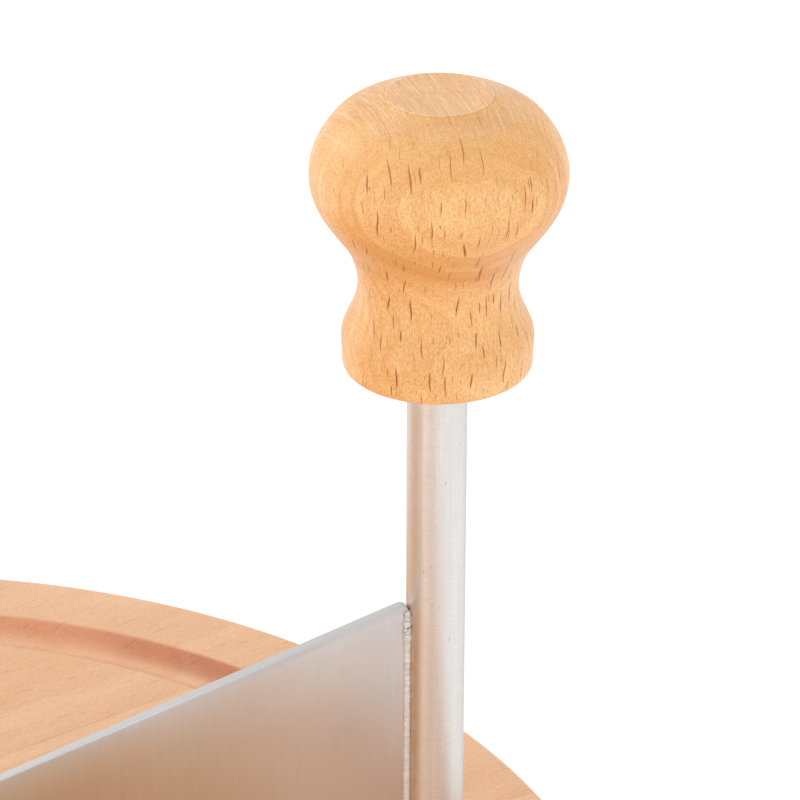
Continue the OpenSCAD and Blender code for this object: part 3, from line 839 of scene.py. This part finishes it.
def knob_profile():
    k = KNOB_H / FLAT_Z
    out = smooth_path(KNOB_PTS, 6)
    p = [(6.0, 0.35), (6.35, 0.0)] + rows_to([(6.35, 0.0), (11.4, 0.0)], 1.3)[1:]
    p += out[:-1]
    # the sanded flat is bounded by a barely broken edge
    p += [(FLAT_R + 0.10, FLAT_Z - 0.05), (FLAT_R + 0.02, FLAT_Z - 0.02), (FLAT_R - 0.08, FLAT_Z)]
    p += [(r, FLAT_Z) for r in (6.5, 5.4, 4.0, 2.6, 1.2, 0.0)]
    prof = [(r, Z_KNOB + z * k) for r, z in p]
    # the bore, back down to the mouth
    top = Z_KNOB + 26.5
    prof += [(0.0, top + 1.2), (2.0, top + 0.9), (6.0, top)]
    prof += rows_to([(6.0, top), (6.0, Z_KNOB + 0.35 * k)], 4.0)[1:-1]
    return prof


def split_closed(name, prof, mat, **kw):
    """A lathe whose profile touches the axis twice: outside and bore are one closed skin."""
    return lathe(name, prof, mat, **kw)


# --------------------------------------------------------------------------
# the parts that follow are added in the same way
# --------------------------------------------------------------------------

def knob_body():
    prof = knob_profile()
    cut = [i for i, (r, z) in enumerate(prof) if r < 1e-6]
    # outer run ends on the axis, bore run starts on the axis; both meet at the mouth
    ring = prof[cut[1]:] + prof[:cut[0] + 1]
    return lathe("knob_turned", ring, MAT["knob"], cx=POST_X, seg=192, closed=False, smooth_angle=28)


knob = knob_body()
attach(knob, "knob")
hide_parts("knob")

# --------------------------------------------------------------------------
# post
# --------------------------------------------------------------------------

clip_lo, clip_hi = box_mm("knob_circlip")


def bar_profile(r, z0, z1, e0, e1, notch=None):
    p = [(0.0, z0)]
    p += [(r - e0, z0)] + [(r - e0 * (1 - math.sin(math.radians(a))), z0 + e0 * (1 - math.cos(math.radians(a)))) for a in (30, 60, 90)]
    if notch:
        a, b, nr = notch
        p += rows_to([(r, z0 + e0), (r, a)], 4.0)[1:] + [(nr, a), (nr, b), (r, b)]
        p += rows_to([(r, b), (r, z1 - e1)], 4.0)[1:]
    else:
        p += rows_to([(r, z0 + e0), (r, z1 - e1)], 4.0)[1:]
    p += [(r - e1 * (1 - math.cos(math.radians(a))), z1 - e1 * (1 - math.sin(math.radians(a)))) for a in (30, 60, 90)]
    p += [(0.0, z1)]
    return p


post = lathe("post_bar", bar_profile(POST_R, p_lo.z, p_hi.z, 0.8, 0.8, (clip_lo.z, clip_hi.z, POST_R - 0.7)),
             MAT["post"], cx=POST_X, seg=96, closed=False, smooth_angle=40)
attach(post, "crank")
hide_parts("post")

# --------------------------------------------------------------------------
# scraper plate
# --------------------------------------------------------------------------

BT = sc_hi.y - sc_lo.y
SLOPE = math.tan(math.radians(15.5))
X1 = POST_X - POST_R


def plate_mesh():
    """Section by section from the hub to the post, each a rounded thin rectangle
    with the bevel of the scraping edge on its trailing side."""
    y = BT / 2

    def top(x):
        z = Z_CORNER - (X1 - x) * SLOPE
        # the corner beside the post is rounded off
        c = x - (X1 - 1.5)
        if c > 0:
            z -= 1.4 * (1 - math.sqrt(max(0.0, 1 - min(1.0, c / 1.45) ** 2)))
        return z

    def low(x):
        c = (HUB_R + 4.0) - x
        return Z_EDGE + max(0.0, c)

    xs = [HUB_R - 0.05, HUB_R + 0.5, HUB_R + 1.2, HUB_R + 2.5, HUB_R + 3.7, HUB_R + 4.0, HUB_R + 4.4]
    x = HUB_R + 6.0
    while x < X1 - 3.0:
        xs.append(x)
        x += 2.0
    xs += [X1 - 2.6, X1 - 1.9, X1 - 1.5, X1 - 1.1, X1 - 0.8, X1 - 0.5, X1 - 0.25, X1 - 0.02]
    xs = sorted(set(round(v, 4) for v in xs))
    e = 0.09
    verts, faces, uvs = [], [], []
    ring = None
    first = last = None
    for i, x in enumerate(xs):
        zt, zb = top(x), low(x)
        bev = min(3.2, max(0.15, 3.2 - max(0.0, (HUB_R + 4.0 - x)) * 0.85))
        # curved ends follow the round of the hub and of the post
        sec = [(-y, zb + 0.03), (-y + 0.03, zb), (-y + 0.2, zb)]
        for k in (0.33, 0.66):
            sec.append((-y + 0.2 + (BT - 0.2) * k, zb + bev * k))
        sec += [(y, zb + bev)]
        nn = 7
        sec += [(y, zb + bev + 0.05)]
        for k in range(1, nn):
            sec.append((y, zb + bev + (zt - 2.6 - zb - bev) * k / nn))
        roll = [(y - 0.085 * (1 - d / 2.4) ** 3, zt - d) for d in (0.14, 0.35, 0.6, 0.95, 1.4, 1.9, 2.4)]
        sec += [(yy, zz) for yy, zz in reversed(roll) if zz > zb + bev + 0.06]
        yt = y - 0.085
        sec += [(yt, zt - e), (yt - e * 0.3, zt - e * 0.3), (yt - e, zt), (0.0, zt), (-yt + e, zt), (-yt + e * 0.3, zt - e * 0.3), (-yt, zt - e)]
        sec += [(-yy, zz) for yy, zz in roll]
        for k in range(1, 10):
            sec.append((-y, zt - 2.6 + (zb + 0.03 - zt + 2.6) * k / 10))
        sec += [(-y, zb + 0.08)]
        idx = []
        for (yy, zz) in sec:
            xx = x
            if i == 0:
                xx = math.sqrt(max(0.0, HUB_R ** 2 - yy * yy))
            if i == len(xs) - 1:
                xx = POST_X - math.sqrt(max(0.0, POST_R ** 2 - yy * yy))
            idx.append(len(verts))
            verts.append((xx, yy, zz))
            uvs.append((xx * 0.005, zz * 0.005))
        if ring is not None:
            m = len(idx)
            for k in range(m):
                faces.append([ring[k], ring[(k + 1) % m], idx[(k + 1) % m], idx[k]])
        else:
            first = idx
        ring = idx
        last = idx
    faces.append(list(reversed(first)))
    faces.append(list(last))
    return finish_mesh("scraper_plate_brushed", verts, faces, MAT["plate"], uvs, smooth_angle=14)


plate = plate_mesh()
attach(plate, "crank")
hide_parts("scraper_plate")

# --------------------------------------------------------------------------
# weld beads
# --------------------------------------------------------------------------


def bead(name, cx, r, s, z0, z1, seed, lumpy_from, w0=0.51, w1=0.43):
    """Two rough fillets of weld, one each side of the plate, in the corner between
    the plate's face and a round of radius r whose axis is at cx; s = +1 where the plate
    lies on the +X side of the round."""
    verts, faces = [], []
    dz = 0.09
    n = int((z1 - z0) / dz)
    m = 12
    y0 = BT / 2
    xk = cx + s * math.sqrt(r * r - y0 * y0)
    for side in (-1, 1):
        base = len(verts)
        for i in range(n + 1):
            z = z0 + (z1 - z0) * i / n
            f = min(1.0, max(0.0, (z - lumpy_from) / 2.0))
            taper = min(1.0, (z - z0) / 0.5, (z1 - z) / 0.35) if 0 < i < n else 0.0
            w = (w1 + (w0 - w1) * f) * math.sqrt(max(0.0, taper))
            a = noise.noise(Vector((seed, side * 3.0, z * 1.9)))
            b = noise.noise(Vector((seed + 9, side * 5.0, z * 4.3)))
            ripple = (0.035 - 0.030 * f) * math.sin(z * 2 * math.pi / 0.9 + 2.2 * a)
            w *= 1.0 + ripple + (0.07 + 0.18 * f) * a + (0.035 + 0.16 * f) * b
            cxx = xk + s * 0.36
            cyy = side * (y0 + 0.06)
            for k in range(m):
                t = 2 * math.pi * k / m
                c = noise.noise(Vector((math.cos(t) * 1.3 + seed, math.sin(t) * 1.3, z * 3.4)))
                c += 0.6 * noise.noise(Vector((math.cos(t) * 2.6 + seed, math.sin(t) * 2.6, z * 6.5)))
                q = w * (1.0 + (0.05 + 0.24 * f) * c)
                verts.append((cxx + q * 1.10 * math.cos(t), cyy + q * 0.95 * math.sin(t), z))
        for i in range(n):
            for k in range(m):
                a0, a1 = base + i * m + k, base + i * m + (k + 1) % m
                b0, b1 = a0 + m, a1 + m
                faces.append([a0, a1, b1, b0])
    ob = finish_mesh(name, verts, faces, MAT["weld"], smooth_angle=80)
    bm = bmesh.new()
    bm.from_mesh(ob.data)
    bmesh.ops.remove_doubles(bm, verts=bm.verts, dist=0.002 * MM)
    bmesh.ops.dissolve_degenerate(bm, dist=0.0005 * MM, edges=bm.edges)
    bmesh.ops.recalc_face_normals(bm, faces=bm.faces)
    bm.to_mesh(ob.data)
    bm.free()
    return ob


pw_lo, pw_hi = box_mm("post_weld")
hw_lo, hw_hi = box_mm("hub_weld")
post_bead = bead("post_weld_bead", POST_X, POST_R, -1, pw_lo.z, Z_CORNER - 1.10, 2.3, Z_CORNER - 7.0)
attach(post_bead, "crank")
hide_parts("post_weld")
hub_bead = bead("hub_weld_bead", 0.0, HUB_R, 1, hw_lo.z, hw_hi.z + 0.5, 7.7, hw_lo.z + 2.0, 0.5, 0.45)
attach(hub_bead, "crank")
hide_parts("hub_weld")

# --------------------------------------------------------------------------
# hub, bush and ring
# --------------------------------------------------------------------------

BUSH_R, SPIN_R = 5.2, 4.0


def tube_profile(ri, ro, z0, z1, e, ei=0.25):
    p = []
    p += arc(ro - e, z0 + e, e, -90, 0, 4)
    p += rows_to([(ro, z0 + e), (ro, z1 - e)], 3.0)[1:-1]
    p += arc(ro - e, z1 - e, e, 0, 90, 4)
    p += arc(ri + ei, z1 - ei, ei, 90, 180, 3)
    p += rows_to([(ri, z1 - ei), (ri, z0 + ei)], 4.0)[1:-1]
    p += arc(ri + ei, z0 + ei, ei, 180, 270, 3)
    return p


hub = lathe("hub_sleeve_turned", tube_profile(BUSH_R + 0.05, HUB_R, h_lo.z, h_hi.z, 0.4), MAT["hub"], seg=96)
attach(hub, "crank")
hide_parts("hub_sleeve")


def bush_profile():
    z0, z1 = hb_lo.z, hb_hi.z
    ri = SPIN_R + 0.05
    p = arc(7.4 - 0.3, z0 + 0.3, 0.3, -90, 0, 4)
    p += arc(7.4 - 0.3, z0 + 1.5 - 0.3, 0.3, 0, 90, 4)
    p += [(BUSH_R, z0 + 1.5)]
    p += rows_to([(BUSH_R, z0 + 1.5), (BUSH_R, z1 - 0.3)], 4.0)[1:-1]
    p += arc(BUSH_R - 0.3, z1 - 0.3, 0.3, 0, 90, 3)
    p += arc(ri + 0.3, z1 - 0.3, 0.3, 90, 180, 3)
    p += rows_to([(ri, z1 - 0.3), (ri, z0 + 0.3)], 4.0)[1:-1]
    p += arc(ri + 0.3, z0 + 0.3, 0.3, 180, 270, 3)
    return p


bush = lathe("hub_bush_moulded", bush_profile(), MAT["nylon"], seg=96)
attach(bush, "bush")
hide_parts("hub_bush")
ring = lathe("bush_ring_moulded", tube_profile(BUSH_R + 0.01, 7.4, rr_lo.z, rr_hi.z, 0.35, 0.15), MAT["nylon"], seg=96)
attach(ring, "bush")
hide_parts("bush_retaining_ring")

# --------------------------------------------------------------------------
# spindle and its washer
# --------------------------------------------------------------------------

SPIN_TOP = s_hi.z
TIP = 14.0
Z_SEAT = Z_TOP + 1.5


def spindle_profile():
    zb = s_lo.z
    p = [(0.0, zb), (2.4, zb), (2.75, zb + 0.35)]
    z = zb + 0.5
    while z < Z_UNDER + 1.9:
        p += [(2.58, z), (3.0, z + 0.42), (3.0, z + 0.52)]
        z += 1.0
    z = max(z, Z_UNDER + 1.9)
    p += [(3.0, z), (3.0, Z_UNDER + WELL_H), (3.0, Z_SEAT), (SPIN_R - 0.2, Z_SEAT), (SPIN_R, Z_SEAT + 0.2)]
    p += rows_to([(SPIN_R, Z_SEAT + 0.2), (SPIN_R, SPIN_TOP - TIP)], 5.0)[1:]
    big = SPIN_R + TIP * 2.2
    tip = arc(-TIP * 2.2, SPIN_TOP - TIP, big, 2, 17, 12)
    tip = [q for q in tip if q[1] < SPIN_TOP - 1.3]
    p += tip
    p += [q for q in arc(0.0, SPIN_TOP - 1.25, 1.25, 22, 90, 8)]
    p[-1] = (0.0, SPIN_TOP)
    return p


spindle = lathe("spindle_bar", spindle_profile(), MAT["spindle"], seg=96, closed=False, smooth_angle=34)
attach(spindle, "base")
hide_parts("spindle")
seat = lathe("seat_washer_pressed", tube_profile(3.0, 7.6, Z_TOP, Z_SEAT, 0.35, 0.1), MAT["washer"], seg=96)
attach(seat, "base")
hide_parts("spindle_seat_washer")

# --------------------------------------------------------------------------
# CAD nodes that keep their own mesh
# --------------------------------------------------------------------------


def dress(node, mat, angle=30.0):
    ob = NODES[node]
    ob.data.materials.clear()
    ob.data.materials.append(mat)


for node in ("foot_washers", "foot_screws", "under_washer", "spring_washer", "spindle_nut", "knob_circlip"):
    dress(node, MAT["zinc"])
dress("rubber_feet", MAT["rubber"])
dress("knob_bush", MAT["brass"])
for node, mat in (("board", "board"), ("knob", "knob"), ("post", "post"), ("scraper_plate", "plate"),
                  ("post_weld", "weld"), ("hub_weld", "weld"), ("hub_sleeve", "hub"), ("hub_bush", "nylon"),
                  ("bush_retaining_ring", "nylon"), ("spindle", "spindle"), ("spindle_seat_washer", "washer")):
    dress(node, MAT[mat])

# --------------------------------------------------------------------------
# floor, light, camera
# --------------------------------------------------------------------------


def floor_object():
    me = bpy.data.meshes.new("studio_floor")
    R = 4.0
    me.from_pydata([(-R, -R, 0), (R, -R, 0), (R, R, 0), (-R, R, 0)], [], [[0, 1, 2, 3]])
    me.update()
    ob = bpy.data.objects.new("studio_floor", me)
    bpy.context.scene.collection.objects.link(ob)
    m = bpy.data.materials.new("studio_floor_pale")
    m.use_nodes = True
    b = m.node_tree.nodes["Principled BSDF"]
    b.inputs["Base Color"].default_value = (0.93, 0.93, 0.93, 1)
    b.inputs["Roughness"].default_value = 0.8
    b.inputs["Emission Color"].default_value = (1, 1, 1, 1)
    b.inputs["Emission Strength"].default_value = 0.22
    me.materials.append(m)
    return ob


floor_object()

world = bpy.data.worlds.new("studio_world")
bpy.context.scene.world = world
world.use_nodes = True
bg = world.node_tree.nodes["Background"]
bg.inputs[0].default_value = (1.0, 1.0, 1.0, 1.0)
bg.inputs[1].default_value = 0.86


def area(name, loc, target, size, power, color=(1, 1, 1)):
    l = bpy.data.lights.new(name, "AREA")
    l.shape = "SQUARE"
    l.size = size
    l.energy = power
    l.color = color
    ob = bpy.data.objects.new(name, l)
    ob.location = loc
    d = Vector(target) - Vector(loc)
    ob.rotation_euler = d.to_track_quat("-Z", "Y").to_euler()
    bpy.context.scene.collection.objects.link(ob)
    return ob


area("soft_top_back", (-0.75, 0.95, 0.70), (0.0, 0.0, 0.04), 0.9, 4.2)
area("soft_right_front", (0.95, -0.75, 0.85), (0.05, 0.0, 0.08), 0.7, 0.4)
area("soft_low_front", (-0.20, -1.05, 0.22), (0.07, 0.0, 0.10), 0.6, 0.62)

card = area("soft_left_low", (-0.80, -0.335, 0.24), (0.089, 0.0, 0.07), 0.17, 0.54)
card.data.shape = "RECTANGLE"
card.data.size_y = 0.46

# camera: where the photograph was taken from
DELTA = math.radians(19.892)
ELEV = math.radians(27.66)
ROLL = math.radians(0.216)
CAM_POS = Vector((-90.227, -480.966, Z_TOP + 42.0 + 298.695)) * MM
fwd = Vector((math.sin(DELTA) * math.cos(ELEV), math.cos(DELTA) * math.cos(ELEV), -math.sin(ELEV)))
right = Vector((math.cos(DELTA), -math.sin(DELTA), 0.0))
up = right.cross(fwd)
r2 = math.cos(ROLL) * right + math.sin(ROLL) * up
u2 = -math.sin(ROLL) * right + math.cos(ROLL) * up
cam_data = bpy.data.cameras.new("photo_camera")
cam_data.sensor_width = 36.0
cam_data.lens = 36.0 * 4402.2 / 800.0
cam_data.clip_start = 0.01
cam_data.clip_end = 20.0
cam = bpy.data.objects.new("photo_camera", cam_data)
cam.matrix_world = Matrix((
    (r2.x, u2.x, -fwd.x, CAM_POS.x),
    (r2.y, u2.y, -fwd.y, CAM_POS.y),
    (r2.z, u2.z, -fwd.z, CAM_POS.z),
    (0, 0, 0, 1)))
bpy.context.scene.collection.objects.link(cam)
bpy.context.scene.camera = cam

vs = bpy.context.scene.view_settings
vs.view_transform = "Standard"
vs.look = "None"
vs.exposure = 0.0
vs.gamma = 1.0

bpy.context.view_layer.update()
